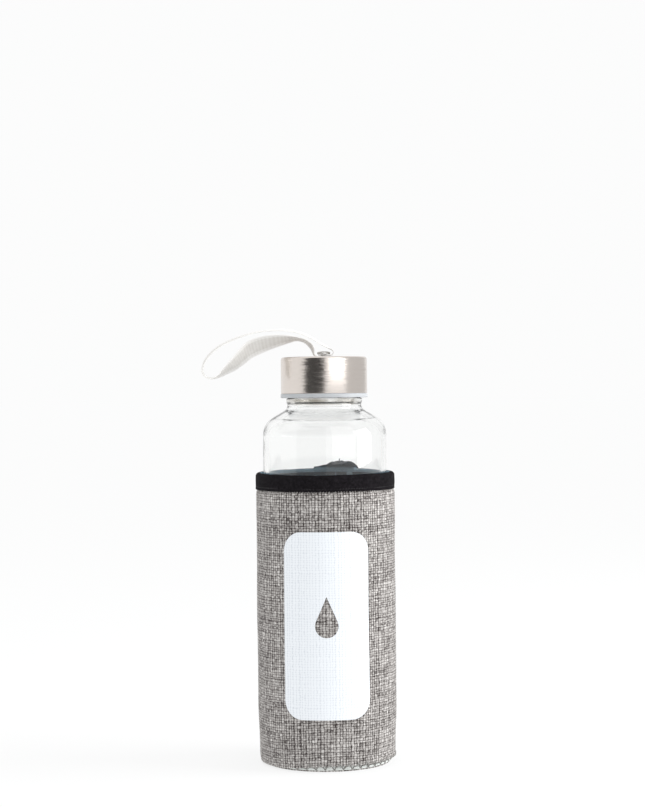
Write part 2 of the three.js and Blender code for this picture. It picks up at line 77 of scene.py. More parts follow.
glass_foot, glass_rim, glass_radius = span("glass_bottle")
flange_foot, liner_top, flange_radius = span("cap_liner")
shell_foot, cap_top, shell_radius = span("cap_shell")
cloth_foot, cloth_top, cloth_radius = span("sleeve_fabric")
lining_radius = span("sleeve_lining")[2]
seal_foot, seal_top, seal_radius = span("cap_seal")
base_low, base_high, base_radius = span("base_foam")
tape_foot = span("binding_stitch")[0] - 1
tape_top = cloth_top + 0.7
print(f"glass {glass_radius * 2:.1f} across, cap top at {cap_top:.1f}")
print(f"cloth {cloth_foot:.1f} to {cloth_top:.1f}")


# %% [markdown]
# ## Turning a profile
# Bottles and caps are round, so the quickest clean way to model them is a lathe. A profile is drawn by
# extruding one vertex from corner to corner, and Spin sweeps it round the axis. A rounded corner is an arc.


# %% Helpers for turned pieces
WELD = 1e-6  # points closer than this, in metres, are one point


def deselect():
    """Leaves edit mode, with nothing selected."""
    if bpy.context.mode != "OBJECT":
        bpy.ops.object.mode_set(mode="OBJECT")
    bpy.ops.object.select_all(action="DESELECT")


def plane(name, **settings):
    """Adds a plane with this name."""
    deselect()
    bpy.ops.mesh.primitive_plane_add(**settings)
    piece = bpy.context.object
    piece.name = name
    return piece


def outline(corners, arc_step=12):
    """Corners (radius, height, rounding) as 2D points, each rounded corner as an arc."""
    points = []
    for i, (x, y, rounding) in enumerate(corners):
        here = Vector((x, y))
        if rounding == 0:
            points.append(here)
            continue
        back = (Vector(corners[i - 1][:2]) - here).normalized()
        on = (Vector(corners[(i + 1) % len(corners)][:2]) - here).normalized()
        half = back.angle(on) / 2
        centre = here + (back + on).normalized() * (rounding / math.sin(half))
        first = here + back * (rounding / math.tan(half)) - centre
        side = 1 if on.x * back.y - on.y * back.x > 0 else -1
        turn = side * (math.pi - 2 * half)
        steps = max(2, math.ceil(abs(turn) / math.radians(arc_step)))
        for k in range(steps + 1):
            c = math.cos(turn * k / steps)
            s = math.sin(turn * k / steps)
            points.append(centre + Vector((first.x * c - first.y * s, first.x * s + first.y * c)))
    return points


def pick(piece):
    """Makes this piece the only one selected, and the active one."""
    deselect()
    piece.select_set(True)
    bpy.context.view_layer.objects.active = piece


def smooth(piece, degrees=35):
    """Shades a piece smooth, but for edges that are sharper than this."""
    pick(piece)
    bpy.ops.object.shade_smooth_by_angle(angle=math.radians(degrees))
    return piece


def start_edit(piece):
    """Opens a piece in edit mode with all its points selected."""
    pick(piece)
    bpy.ops.object.mode_set(mode="EDIT")
    bpy.ops.mesh.select_mode(type="VERT")
    bpy.ops.mesh.select_all(action="SELECT")


def close_up(piece):
    """Merges doubles and turns the faces outwards."""
    start_edit(piece)
    bpy.ops.mesh.remove_doubles(threshold=WELD)
    bpy.ops.mesh.normals_make_consistent(inside=False)
    bpy.ops.object.mode_set(mode="OBJECT")
    return piece


def turned(name, corners, steps=144):
    """A turned piece from a profile in millimetres that starts and ends on the axis, or closes on itself."""
    points = [p * MM for p in outline(corners)]
    if points[0].x > WELD:
        points.append(points[0])
    piece = plane(name, size=0.001)
    start_edit(piece)
    bpy.ops.mesh.merge(type="CENTER")
    bpy.ops.transform.translate(value=(points[0].x, 0, points[0].y))
    for a, b in zip(points, points[1:]):
        bpy.ops.mesh.extrude_vertices_move(TRANSFORM_OT_translate={"value": (b.x - a.x, 0, b.y - a.y)})
    bpy.ops.mesh.select_all(action="SELECT")
    bpy.ops.mesh.spin(steps=steps, angle=2 * math.pi, center=(0, 0, 0), axis=(0, 0, 1))
    return smooth(close_up(piece))


def modify(piece, kind, **settings):
    """Adds a modifier with these settings and applies it."""
    pick(piece)
    bpy.ops.object.modifier_add(type=kind)
    modifier = piece.modifiers[-1]
    for key, value in settings.items():
        setattr(modifier, key, value)
    bpy.ops.object.modifier_apply(modifier=modifier.name)
    return piece


def combine(piece, other, operation):
    """Joins other to piece or cuts it away, and removes it."""
    modify(piece, "BOOLEAN", operation=operation, object=other, solver="EXACT")
    bpy.data.objects.remove(other)
    return piece


# %% [markdown]
# ## Bending a grid
# Cloth, ribbon and thread follow curves that no primitive has. Each is a grid whose vertices are moved to
# their places, so that its UV map still runs straight along the cloth, and the weave follows it.


# %% Helpers for bent pieces
def bent_grid(name, across, along, place):
    """A grid whose point at (u, v), each from 0 to 1, is moved to place(u, v)."""
    deselect()
    bpy.ops.mesh.primitive_grid_add(x_subdivisions=across, y_subdivisions=along, size=1)
    piece = bpy.context.object
    piece.name = name
    for vertex in piece.data.vertices:
        vertex.co = place(vertex.co.x + 0.5, vertex.co.y + 0.5)
    return piece


def close_tube(piece, fill_ends=True):
    """Welds a grid that was bent into a tube along its seam, and fills the tube's open ends."""
    start_edit(piece)
    bpy.ops.mesh.remove_doubles(threshold=WELD)
    if fill_ends:
        bpy.ops.mesh.select_all(action="DESELECT")
        bpy.ops.mesh.select_non_manifold(extend=False)
        bpy.ops.mesh.edge_face_add()
    return close_up(piece)


def around(angle, radius, z):
    """The point at an angle from the front, round towards +X, from a radius and height in millimetres."""
    return Vector((radius * math.sin(angle), -radius * math.cos(angle), z)) * MM


def through(points, t):
    """The point at t, from 0 to 1, on a smooth curve through the points, with even steps between them."""
    place = t * (len(points) - 1)
    i = min(int(place), len(points) - 2)
    p1, p2 = points[i], points[i + 1]
    p0 = points[i - 1] if i > 0 else p1 * 2 - p2
    p3 = points[i + 2] if i + 2 < len(points) else p2 * 2 - p1
    k1 = math.sqrt((p1 - p0).length)
    k2 = k1 + math.sqrt((p2 - p1).length)
    k3 = k2 + math.sqrt((p3 - p2).length)
    k = k1 + (k2 - k1) * (place - i)
    a1 = p0.lerp(p1, k / k1)
    a2 = p1.lerp(p2, (k - k1) / (k2 - k1))
    a3 = p2.lerp(p3, (k - k2) / (k3 - k2))
    b1 = a1.lerp(a2, k / k2)
    b2 = a2.lerp(a3, (k - k1) / (k3 - k1))
    return b1.lerp(b2, (k - k1) / (k2 - k1))


def thread(name, points, radius, closed=False, sides=10):
    """A two-ply sewing thread along the points. Its section is slightly pinched, and the pinch twists."""
    count = len(points)
    steps = count if closed else count - 1
    radius *= MM
    twist_length = 9 * radius
    pinch = 0.22

    def place(u, v):
        at = v * steps
        i = min(int(round(at)), count) % count
        before = points[i - 1] if i > 0 or closed else points[i]
        after = points[(i + 1) % count] if i < count - 1 or closed else points[i]
        along = (after - before).normalized()
        side = along.cross(Vector((points[i].x, points[i].y, 0)).normalized())
        if side.length < 1e-3:
            side = along.cross(Vector((0, 0, 1)))
        side.normalize()
        up = side.cross(along)
        angle = 2 * math.pi * u
        ply = 1 + pinch * math.cos(2 * angle - 2 * math.pi * lengths[i] / twist_length)
        return points[i] + (side * math.cos(angle) + up * math.sin(angle)) * radius * ply

    lengths = [0.0]
    for a, b in zip(points, points[1:]):
        lengths.append(lengths[-1] + (b - a).length)
    piece = close_tube(bent_grid(name, sides, steps, place), fill_ends=not closed)
    return smooth(piece, 60)


# %% [markdown]
# ## Materials by nodes
# A finish is a small tree of nodes. These helpers add one node, do one sum, and start a Principled material
# with its constants set on the shader itself. An output knows its tree, so a sum joins that tree.


# %% Helpers for materials
def node(tree, kind, inputs=None, **settings):
    """Adds a node. Each input is a constant or another node's output."""
    made = tree.nodes.new(kind)
    for key, value in settings.items():
        setattr(made, key, value)
    for key, value in (inputs or {}).items():
        if isinstance(value, bpy.types.NodeSocket):
            tree.links.new(value, made.inputs[key])
        else:
            made.inputs[key].default_value = value
    return made


def next_node(kind, inputs, **settings):
    """A node in the tree that its inputs come from."""
    tree = next(value.id_data for value in inputs.values() if isinstance(value, bpy.types.NodeSocket))
    return node(tree, kind, inputs, **settings)


def sum_of(operation, a, b=0.0, c=0.0):
    """One step of arithmetic on numbers."""
    return next_node("ShaderNodeMath", {0: a, 1: b, 2: c}, operation=operation).outputs[0]


def plus(a, b):
    return sum_of("ADD", a, b)


def minus(a, b):
    return sum_of("SUBTRACT", a, b)


def times(a, b):
    return sum_of("MULTIPLY", a, b)


def times_plus(a, b, c):
    """a times b, plus c."""
    return sum_of("MULTIPLY_ADD", a, b, c)


def wave(place, length):
    """A sine wave from -1 to 1 that repeats after this length."""
    return sum_of("SINE", times(place, 2 * math.pi / length))


def vector_sum(operation, inputs):
    """One step of arithmetic on vectors."""
    return next_node("ShaderNodeVectorMath", inputs, operation=operation).outputs[0]


def finish(name, color, roughness, **sockets):
    """A Principled material, its tree and its shader."""
    made = bpy.data.materials.new(name)
    made.use_nodes = True
    tree = made.node_tree
    shader = tree.nodes["Principled BSDF"]
    shader.inputs["Base Color"].default_value = (*color, 1)
    shader.inputs["Roughness"].default_value = roughness
    for key, value in sockets.items():
        shader.inputs[key.replace("_", " ")].default_value = value
    return made, tree, shader


def vector(x=0.0, y=0.0, z=0.0):
    """A vector from numbers or other nodes' outputs."""
    return next_node("ShaderNodeCombineXYZ", {0: x, 1: y, 2: z}).outputs[0]


def grain(place, scale, detail=2.0, roughness=0.5):
    """Noise from 0 to 1 at a place. The scale is in repeats for each unit of the place."""
    inputs = {"Vector": place, "Scale": scale, "Detail": detail, "Roughness": roughness}
    return next_node("ShaderNodeTexNoise", inputs).outputs["Fac"]


def between(amount, low, high):
    """A colour between two, each a constant or another node's output, by an amount from 0 to 1."""
    tree = amount.id_data
    mix = node(tree, "ShaderNodeMix", data_type="RGBA")
    for key, value in {"Factor": amount, "A": low, "B": high}.items():
        socket = next(s for s in mix.inputs if s.name == key and s.enabled)
        if isinstance(value, bpy.types.NodeSocket):
            tree.links.new(value, socket)
        else:
            socket.default_value = (*value, 1)
    return next(s for s in mix.outputs if s.enabled)


def paint(shader, amount, low, high):
    """Colours a shader between two colours, by an amount from 0 to 1."""
    shader.id_data.links.new(between(amount, low, high), shader.inputs["Base Color"])


def remap(value, low, high, to_low=0.0, to_high=1.0):
    """Stretches the range from low to high over another one, and stops at its ends."""
    inputs = {"Value": value, 1: low, 2: high, 3: to_low, 4: to_high}
    return next_node("ShaderNodeMapRange", inputs).outputs[0]


def bump(shader, height, distance, strength=1.0, **normal):
    """Roughens a shader by a height from 0 to 1, which stands for this many millimetres."""
    inputs = {"Height": height, "Distance": distance * MM, "Strength": strength, **normal}
    shader.id_data.links.new(next_node("ShaderNodeBump", inputs).outputs[0], shader.inputs["Normal"])


def object_mm(tree):
    """The object's own coordinates in millimetres."""
    place = node(tree, "ShaderNodeTexCoord").outputs["Object"]
    return vector_sum("SCALE", {0: place, "Scale": 1 / MM})


def axes_mm(tree):
    """The object's own x, y and z, each in millimetres."""
    return node(tree, "ShaderNodeSeparateXYZ", {0: object_mm(tree)}).outputs


def from_axis(axes):
    """The distance from the Z axis."""
    flat = vector(axes[0], axes[1])
    return next_node("ShaderNodeVectorMath", {0: flat}, operation="LENGTH").outputs["Value"]


def cloth_mm(tree, width, height):
    """(across, along) on the piece's UV map, in millimetres of cloth."""
    parts = node(tree, "ShaderNodeSeparateXYZ", {0: node(tree, "ShaderNodeUVMap").outputs[0]}).outputs
    return times(parts[0], width), times(parts[1], height)


def dress(piece, material, body, slot, *nodes):
    """Gives a finished piece its material, its body and the CAD nodes it stands for. The slot is not used."""
    piece.data.materials.clear()
    piece.data.materials.append(material)
    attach(piece, body)
    if nodes:
        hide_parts(*nodes)
    print(f"{piece.name}: {len(piece.data.polygons)} faces on {body}")
    return piece


# %% [markdown]
# ## The glass bottle
# The real bottle is pressed and blown glass with walls of about 2.6 mm, a hollow foot, a round shoulder and
# a short threaded neck. Both faces of the wall are modelled, because glass only bends light the right way
# when it has its real thickness.

# %% Measures of the glass
WALL = 2.6
FINISH = 15.9  # threaded neck, from the collar to the rim
COLLAR = 5.5  # from the shoulder up to the neck's ledge
BEAD = 2.9  # rounded bead at the top of the collar
NECK = 18.9
BORE = NECK - 2.7
PITCH = 4.2
THREAD_TURNS = 1.3
THREAD_START = 3.3  # from the collar's top up to the thread's lower end
GLASS_TINT = (0.992, 0.996, 0.992)
CAP_REFLECTION_TINT = (0.56, 0.54, 0.50)  # painted reflection: the cap's dark underside, mirrored in the glass of the collar
collar_top = glass_rim - FINISH
collar_foot = collar_top - COLLAR
collar_radius = NECK + 1.05
waist = collar_radius - 0.35
shoulder_slope = math.tan(math.radians(31.5))
shoulder = collar_foot - (glass_radius - waist) * shoulder_slope
inner_neck = collar_foot - WALL * 0.7
inner_radius = glass_radius - WALL
inner_shoulder = collar_foot - WALL / 2 - (inner_radius - BORE) * shoulder_slope
print(f"shoulder at {shoulder:.1f}, collar {collar_foot:.1f} to {collar_top:.1f}, rim at {glass_rim:.1f}")


# %% Screw threads
def screw_ridge(name, wall_radius, side, start, height=1.2, width=1.3):
    """A helical ridge that stands out of a wall, outwards (side 1) or inwards (side -1)."""
    run_out = 0.08  # share of the thread over which each end fades
    section = [(-0.5, -1.0), (0.35 * height, -0.85), (0.85 * height, -0.5), (height, -0.2)]
    section += [(out, -up) for out, up in reversed(section)]

    def place(u, v):
        out, up = section[min(int(round(u * len(section))), len(section)) % len(section)]
        fade = min(1.0, v / run_out, (1 - v) / run_out)
        fade = math.sin(max(fade, 0.05) * math.pi / 2)
        turns = v * THREAD_TURNS
        out = out * fade if out > 0 else out
        z = start + turns * PITCH + up * width * max(fade, 0.4)
        return around(turns * 2 * math.pi, wall_radius + side * out, z)

    return close_tube(bent_grid(name, len(section), 120, place))


# %% Turn the bottle and add its thread
glass = turned("bottle_glass", [
    (0, glass_foot + 1.8, 0), (21, glass_foot + 1.8, 3), (25, glass_foot, 1.5),
    (glass_radius, glass_foot, 5), (glass_radius, shoulder, 10),
    (waist, collar_foot, 3), (waist, collar_top - BEAD, 0.6),
    (collar_radius, collar_top - BEAD + 0.7, 0.8), (collar_radius, collar_top, 0.8),
    (NECK, collar_top, 0.3), (NECK, glass_rim, 1.1), (BORE, glass_rim, 1.1),
    (BORE, inner_neck, 5), (inner_radius, inner_shoulder, 8.7),
    (inner_radius, glass_foot + 6, 6), (0, glass_foot + 5.4, 0),
], steps=192)
ridge = screw_ridge("neck_thread", NECK, 1, collar_top + THREAD_START)
combine(glass, ridge, "UNION")
smooth(glass, 40)

# %% Clear glass
glass_finish, tree, shader = finish("clear_glass", GLASS_TINT, 0.0, Transmission_Weight=1.0, IOR=1.5)
waver = grain(object_mm(tree), 0.05, 1.0)
neck_height = axes_mm(tree)[2]
near_neck = remap(neck_height, collar_foot - 7, collar_foot + 1)
chill = times(grain(object_mm(tree), 0.16, 2.0), near_neck)
bump(shader, times_plus(chill, 0.7, waver), 0.5, 0.35)
# Painted reflection: a band of the collar just under the cap is tinted brown-grey in patches, standing in for
# the cap's dark underside seen in the glass.
over_foot = remap(neck_height, collar_top - 4.2, collar_top - 2.6)
under_top = remap(neck_height, collar_top + 0.6, collar_top - 0.2)
flattened = vector_sum("MULTIPLY", {0: object_mm(tree), 1: (1, 1, 3.5)})
reflection_patches = remap(grain(flattened, 0.11, 2.0), 0.33, 0.58)
thick = times(times(over_foot, under_top), reflection_patches)
paint(shader, thick, GLASS_TINT, CAP_REFLECTION_TINT)
dress(glass, glass_finish, "bottle", "clear_glass", "glass_bottle")

# %% [markdown]
# ## The cap
# A moulded liner does the sealing. It carries the thread inside, and its foot shows as a cloudy ring under
# the steel. A thin steel cup is pressed over it. The brushing runs round the cup, so highlights stretch
# up and down it, and the studio shows in it as upright bands.

# %% Steel cup
STEEL = 0.5
RIVET_HOLE = 1.85
shell = turned("cap_steel", [
    (RIVET_HOLE, cap_top - STEEL, 0), (shell_radius - STEEL, cap_top - STEEL, 0.9),
    (shell_radius - STEEL, shell_foot + 0.1, 0), (shell_radius - 0.1, shell_foot, 0.15),
    (shell_radius, shell_foot + 0.2, 0.15), (shell_radius, cap_top, 1.4),
    (RIVET_HOLE, cap_top, 0.12),
], steps=192)

# %% Brushed steel
steel_finish, tree, shader = finish("brushed_steel", (0.74, 0.68, 0.635), 0.2, Metallic=1.0, Anisotropic=0.5)
axes = axes_mm(tree)
turn = sum_of("DIVIDE", sum_of("ARCTAN2", axes[0], axes[1]), 2 * math.pi)
across = minus(from_axis(axes), axes[2])  # grows outwards over the lid and down the wall
coarse = grain(vector(times(turn, 4), times(across, 0.8)), 2.0, 4.0, 0.7)
fine = grain(vector(times(turn, 20), times(across, 12)), 1.0, 3.0)
streaks = times_plus(coarse, 0.5, times(fine, 0.5))
paint(shader, remap(streaks, 0.3, 0.7), (0.70, 0.64, 0.595), (0.78, 0.72, 0.675))
tree.links.new(remap(streaks, 0.3, 0.7, 0.15, 0.26), shader.inputs["Roughness"])

# %% Lean of the brushing
LEAN = 0.095  # how far the coarse streaks tip the surface to either side
tangent = node(tree, "ShaderNodeTangent", direction_type="RADIAL", axis="Z").outputs[0]
tree.links.new(tangent, shader.inputs["Tangent"])
lean = vector_sum("SCALE", {0: tangent, "Scale": remap(coarse, 0.3, 0.7, -LEAN, LEAN)})
facing = node(tree, "ShaderNodeNewGeometry").outputs["Normal"]
leaning = vector_sum("ADD", {0: facing, 1: lean})
bump(shader, streaks, 0.01, 0.4, Normal=leaning)
dress(shell, steel_finish, "cap", "brushed_steel", "cap_shell")

# %% Liner with its thread
LINER_BORE = NECK + 1.2 + 0.4  # clear of the neck's thread
LINER = LINER_BORE + 1.65
LINER_STEP = LINER - 1.6  # the raised ring on the liner's top
liner = turned("cap_liner_cup", [
    (0, seal_top + 0.05, 0), (LINER_BORE, seal_top + 0.05, 0.3),
    (LINER_BORE, flange_foot + 0.8, 0), (LINER_BORE + 0.5, flange_foot, 0.2),
    (flange_radius, flange_foot, 0.55), (flange_radius, shell_foot - 0.05, 0.35),
    (LINER, shell_foot - 0.05, 0), (LINER, liner_top, 0.9),
    (LINER_STEP, liner_top, 0.2), (LINER_STEP, seal_top + 1.55, 0.2),
    (0, seal_top + 1.55, 0),
], steps=160)
ridge = screw_ridge("liner_thread", LINER_BORE, -1, collar_top + THREAD_START + PITCH / 2)
combine(liner, ridge, "UNION")
smooth(liner, 40)

# %% Cloudy plastic
clouding = {"Transmission_Weight": 0.25, "IOR": 1.46, "Subsurface_Weight": 0.3}
plastic_finish, tree, shader = finish("frosted_plastic", (0.8, 0.83, 0.85), 0.38, **clouding)
shader.inputs["Subsurface Radius"].default_value = (0.002, 0.002, 0.002)
paint(shader, grain(object_mm(tree), 0.25, 3.0), (0.60, 0.625, 0.65), (0.70, 0.725, 0.75))
bump(shader, grain(object_mm(tree), 6.0, 2.0), 0.02, 0.4)
dress(liner, plastic_finish, "cap", "frosted_plastic", "cap_liner")

# %% Sealing ring
SEAL_WIDTH = 4.6
seal = turned("seal_ring", [
    (seal_radius - SEAL_WIDTH, seal_foot, 0.2), (seal_radius, seal_foot, 0.3),
    (seal_radius, seal_top, 0.3), (seal_radius - SEAL_WIDTH, seal_top, 0.2),
], steps=96)
seal_finish, tree, shader = finish("silicone", (0.86, 0.86, 0.83), 0.55, Subsurface_Weight=0.2)
bump(shader, grain(object_mm(tree), 3.0, 3.0), 0.03, 0.4)
paint(shader, grain(object_mm(tree), 0.4, 2.0), (0.8, 0.8, 0.77), (0.88, 0.88, 0.86))
dress(seal, seal_finish, "seal", "silicone", "cap_seal")

# %% [markdown]
# ## The rivet
# The ribbon is pinned by a small two-part rivet. Its domed head shows on top, and its shank, tail and washer
# are inside the cap, where the steel cup hides them.

# %% Rivet head, post and washer
SHANK = 1.6
head_foot, head_top, head_radius = span("rivet_head")
post_foot, post_top, post_radius = span("rivet_post")
washer_foot, washer_top, washer_radius = span("rivet_washer")
head = turned("rivet_dome", [
    (0, post_top + 0.1, 0), (RIVET_HOLE, post_top + 0.1, 0),
    (RIVET_HOLE, head_foot, 0.1), (head_radius, head_foot, 0.2),
    (head_radius, head_top - 0.35, 0.5), (head_radius * 0.45, head_top, 1.2),
    (0, head_top, 0),
], steps=64)
post = turned("rivet_shank", [
    (0, post_foot, 0), (post_radius, post_foot, 0.2),
    (post_radius, post_foot + 0.6, 0.2), (SHANK, post_foot + 0.6, 0.15),
    (SHANK, post_top, 0.2), (0, post_top, 0),
], steps=64)
washer = turned("rivet_plate", [
    (RIVET_HOLE, washer_foot, 0.1), (washer_radius, washer_foot, 0.1),
    (washer_radius, washer_top, 0.15), (RIVET_HOLE, washer_top, 0.1),
], steps=64)

# %% Polished steel
polish, tree, shader = finish("rivet_steel", (0.78, 0.775, 0.765), 0.3, Metallic=1.0)
scuffs = grain(object_mm(tree), 2.5, 5.0, 0.7)
tree.links.new(remap(scuffs, 0.35, 0.7, 0.5, 0.65), shader.inputs["Roughness"])
paint(shader, scuffs, (0.84, 0.835, 0.825), (0.92, 0.915, 0.905))
bump(shader, scuffs, 0.01, 0.4)
dress(head, polish, "cap", "rivet_steel", "rivet_head")
dress(post, polish, "cap", "rivet_steel", "rivet_post")
dress(washer, polish, "cap", "rivet_steel", "rivet_washer")

# %% [markdown]
# ## The ribbon loop
# One strip of satin ribbon leaves the rivet, arches out to the left, turns in a soft fold and comes back
# over itself. Both ends lie flat under the rivet. The ribbon is a long grid that follows two curves, one for
# each edge. The edges are given as (near x, near z, far x, far z) above the middle of the cap.

# %% Route of the ribbon
RIBBON_WIDTH = 12
RIBBON_THICK = 0.3
RIBBON = [
    (3.6, 0.4, 3.6, 0.4), (-1.2, 0.4, -1.2, 0.4), (-3.9, 0.5, -3.9, 0.5), (-4.7, 1.5, -5.1, 1.3),
    (-4.6, 3.0, -5.8, 2.6), (-4.8, 5.0, -6.5, 4.2), (-5.9, 6.9, -7.6, 5.8), (-8.1, 8.8, -9.4, 7.5),
    (-11.2, 10.2, -11.7, 8.8), (-15.4, 11.2, -14.8, 9.2), (-23.0, 12.0, -22.4, 6.8),
    (-32.2, 11.3, -31.0, 3.6), (-39.6, 8.9, -37.6, 0.6), (-45.0, 4.0, -42.4, -2.9),
    (-49.4, -0.8, -46.8, -5.8), (-53.2, -5.4, -51.8, -8.2), (-56.2, -9.0, -56.2, -10.0),
    (-59.9, -10.2, -60.6, -10.4), (-63.0, -8.0, -64.2, -7.8), (-62.4, -3.4, -63.6, -2.2),
    (-58.6, 1.8, -59.6, 3.2), (-53.0, 6.1, -53.6, 7.6), (-46.2, 9.2, -46.5, 10.7),
    (-38.0, 11.9, -38.2, 13.1), (-29.0, 13.6, -29.1, 14.4), (-20.0, 13.5, -20.0, 14.6),
    (-12.8, 12.0, -12.4, 13.1), (-6.7, 9.3, -6.1, 10.3), (-1.8, 6.3, -1.2, 7.2), (1.6, 4.7, 2.0, 5.3),
    (4.1, 3.6, 4.2, 3.8), (5.0, 2.4, 5.0, 2.4), (4.6, 1.4, 4.6, 1.4), (3.6, 1.1, 3.6, 1.1),
    (1.2, 1.1, 1.2, 1.1), (-2.9, 1.1, -2.9, 1.1),
]


def ribbon_edge(side):
    """Points along the near edge (side -1) or the far edge (side 1)."""
    points = []
    for near_x, near_z, far_x, far_z in RIBBON:
        rise = math.hypot(far_x - near_x, far_z - near_z) / 2
        y = side * math.sqrt((RIBBON_WIDTH / 2) ** 2 - rise**2)
        x, z = (near_x, near_z) if side < 0 else (far_x, far_z)
        points.append(Vector((x, y, cap_top + z)) * MM)
    return points


near_edge = ribbon_edge(-1)
far_edge = ribbon_edge(1)


def ribbon_middle(v):
    return through(near_edge, v).lerp(through(far_edge, v), 0.5)


def ribbon_point(u, v):
    """The ribbon's surface, a little curled across and rippled along where it is free."""
    step = 1e-3
    width = through(far_edge, v) - through(near_edge, v)
    along = ribbon_middle(min(1, v + step)) - ribbon_middle(max(0, v - step))
    outwards = along.cross(width).normalized()
    free = math.sin(math.pi * v) ** 0.5
    curl = (u - 0.5) ** 2 * 1.6 * free
    ripple = 0.22 * noise.noise(Vector((u * 1.5, v * 26, 3.7))) * free
    sideways = width.normalized() * (u - 0.5) * RIBBON_WIDTH * MM
    return ribbon_middle(v) + sideways + outwards * (curl + ripple) * MM


# %% Make the ribbon and pierce its ends
strap = bent_grid("ribbon_strap", 24, 420, ribbon_point)
modify(strap, "SOLIDIFY", thickness=RIBBON_THICK * MM, offset=0)
deselect()
hole_place = (0, 0, (cap_top + 0.8) * MM)
bpy.ops.mesh.primitive_cylinder_add(vertices=32, radius=RIVET_HOLE * MM, depth=4 * MM, location=hole_place)
combine(strap, bpy.context.object, "DIFFERENCE")
smooth(close_up(strap), 50)
middle_line = [ribbon_point(0.5, i / 400) for i in range(401)]
ribbon_length = sum((b - a).length for a, b in zip(middle_line, middle_line[1:]))
print(f"ribbon {ribbon_length / MM:.0f} mm long")

# %% Satin ribbon
ribbon_finish, tree, shader = finish("satin_ribbon", (0.9, 0.885, 0.855), 0.5, Sheen_Weight=0.2)
across, along = cloth_mm(tree, RIBBON_WIDTH, ribbon_length / MM)
from_middle = sum_of("ABSOLUTE", minus(across, RIBBON_WIDTH / 2))
selvedge = remap(from_middle, RIBBON_WIDTH / 2 - 0.9, RIBBON_WIDTH / 2 - 0.6)
stripe = remap(from_middle, RIBBON_WIDTH / 2 - 2.4, RIBBON_WIDTH / 2 - 2.1)
warp = wave(across, 0.6)
ribs = times(wave(along, 1.15), minus(1.0, selvedge))
soft = grain(vector(across, along), 0.35, 3.0)
tone = times_plus(ribs, 0.08, times_plus(soft, 0.5, 0.25))
tone = times_plus(stripe, 0.3, tone)
tone = times_plus(selvedge, 0.6, tone)
paint(shader, tone, (0.60, 0.575, 0.53), (0.95, 0.94, 0.92))
bump(shader, times_plus(warp, 0.2, times_plus(selvedge, 0.8, ribs)), 0.02, 0.2)

# %% Give the ribbon its finish and hide the CAD strap
strap.data.materials.append(ribbon_finish)
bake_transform(strap)
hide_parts("strap_loop", "strap_end_lower", "strap_end_upper")

# %% [markdown]
# ## The sleeve's wall
# The sleeve is cut flat from cloth, foam and lining, wrapped round the bottle and joined edge to edge up the
# back. It is not a perfect tube: it draws in towards the foot, thins under the tape at the rim, and its
# surface rises and falls a little. One function gives that surface, and every piece on the cloth uses it.

# %% Shape of the cloth
SEAM = math.radians(169)
SEAM_GAP = 0.35
CLOTH = 0.7
FOAM = 2.35
LINING = 0.35


def ease(x):
    """A smooth step from 0 to 1."""
    x = min(1.0, max(0.0, x))
    return x * x * (3 - 2 * x)


def round_noise(angle, scale, z):
    """Smooth noise from -1 to 1 that meets itself after a whole turn."""
    return noise.noise(Vector((math.sin(angle) * scale, math.cos(angle) * scale, z)))


def rim_dip(angle):
    """How far the rim sags below its level, in millimetres: most at the front, least by the seam."""
    return 0.55 + 0.5 * math.cos(angle) + 0.25 * round_noise(angle, 1.3, 8.1)


def cloth_surface(angle, z):
    """Radius of the cloth's outside at a height, in millimetres."""
    r = cloth_radius - 0.75 * ease((34 - z) / 28)  # drawn in towards the foot
    r -= 0.9 * max(0.0, (cloth_foot + 2 - z) / 6) ** 2  # tucked under at the hem
    r -= 0.75 * ease((z - (tape_foot - rim_dip(angle) - 2.2)) / 2.4)  # squeezed under the tape
    place = Vector((math.sin(angle) * 1.6, math.cos(angle) * 1.6, z * 0.03))
    r += 0.28 * noise.noise(place) + 0.1 * noise.noise(place * 3.1)
    return r


def foot_edge(angle):
    """Height of the cloth's lower edge: it waves, and hangs almost to the floor on the left."""
    sway = 0.3 * round_noise(angle, 1.9, 2.3) + 0.15 * round_noise(angle, 9, 4.1)
    return cloth_foot - 0.4 - 0.1 * ease(math.sin(angle)) - 2.2 * ease(-math.sin(angle) * 1.3) + sway


# %% Wrap the cloth
def wall_layer(name, inset, level, high, thickness, across, along):
    """A layer of the wall, inset from the cloth's surface. With no level, its foot follows the hem."""

    def place(u, v):
        slit = SEAM_GAP / cloth_radius / 2
        angle = SEAM + slit + u * 2 * (math.pi - slit)
        foot = foot_edge(angle) if level is None else level
        top = high - rim_dip(angle)
        z = foot + (top - foot) * v
        return around(angle, cloth_surface(angle, z) - inset, z)

    piece = bent_grid(name, across, along, place)
    modify(piece, "SOLIDIFY", thickness=thickness * MM, offset=-1)
    return close_up(piece)


level_foot = cloth_foot + 0.3
cloth = wall_layer("sleeve_cloth", 0, None, cloth_top - 1, CLOTH, 260, 110)
foam = wall_layer("sleeve_padding", CLOTH + 0.05, level_foot, cloth_top - 1.2, FOAM, 120, 60)
lining = wall_layer("sleeve_inner", CLOTH + FOAM + 0.1, level_foot, cloth_top - 1.2, LINING, 120, 60)
cloth_flat = (2 * math.pi * cloth_radius * MM, (cloth_top - cloth_foot) * MM)
print(f"cloth {cloth_flat[0] / MM:.0f} x {cloth_flat[1] / MM:.0f} mm when it lies flat")


# %% [markdown]
# ## Slubby weave
# The cloth looks like linen. Light yarns cross over and under each other about every millimetre and a half,
# painted shade darkens the gaps between them, and each yarn is thicker in some places than in others. The
# tree works out
# which yarn is on top at each point from where the point lies along the cloth, and how high that yarn is.

# %% Weave nodes
WARP = 1.6
WEFT = 1.3
LINEN_GAP_SHADE = (0.036, 0.028, 0.026)
LINEN_MIDDLE = (0.37, 0.35, 0.337)
LINEN_LIGHT = (0.72, 0.70, 0.68)


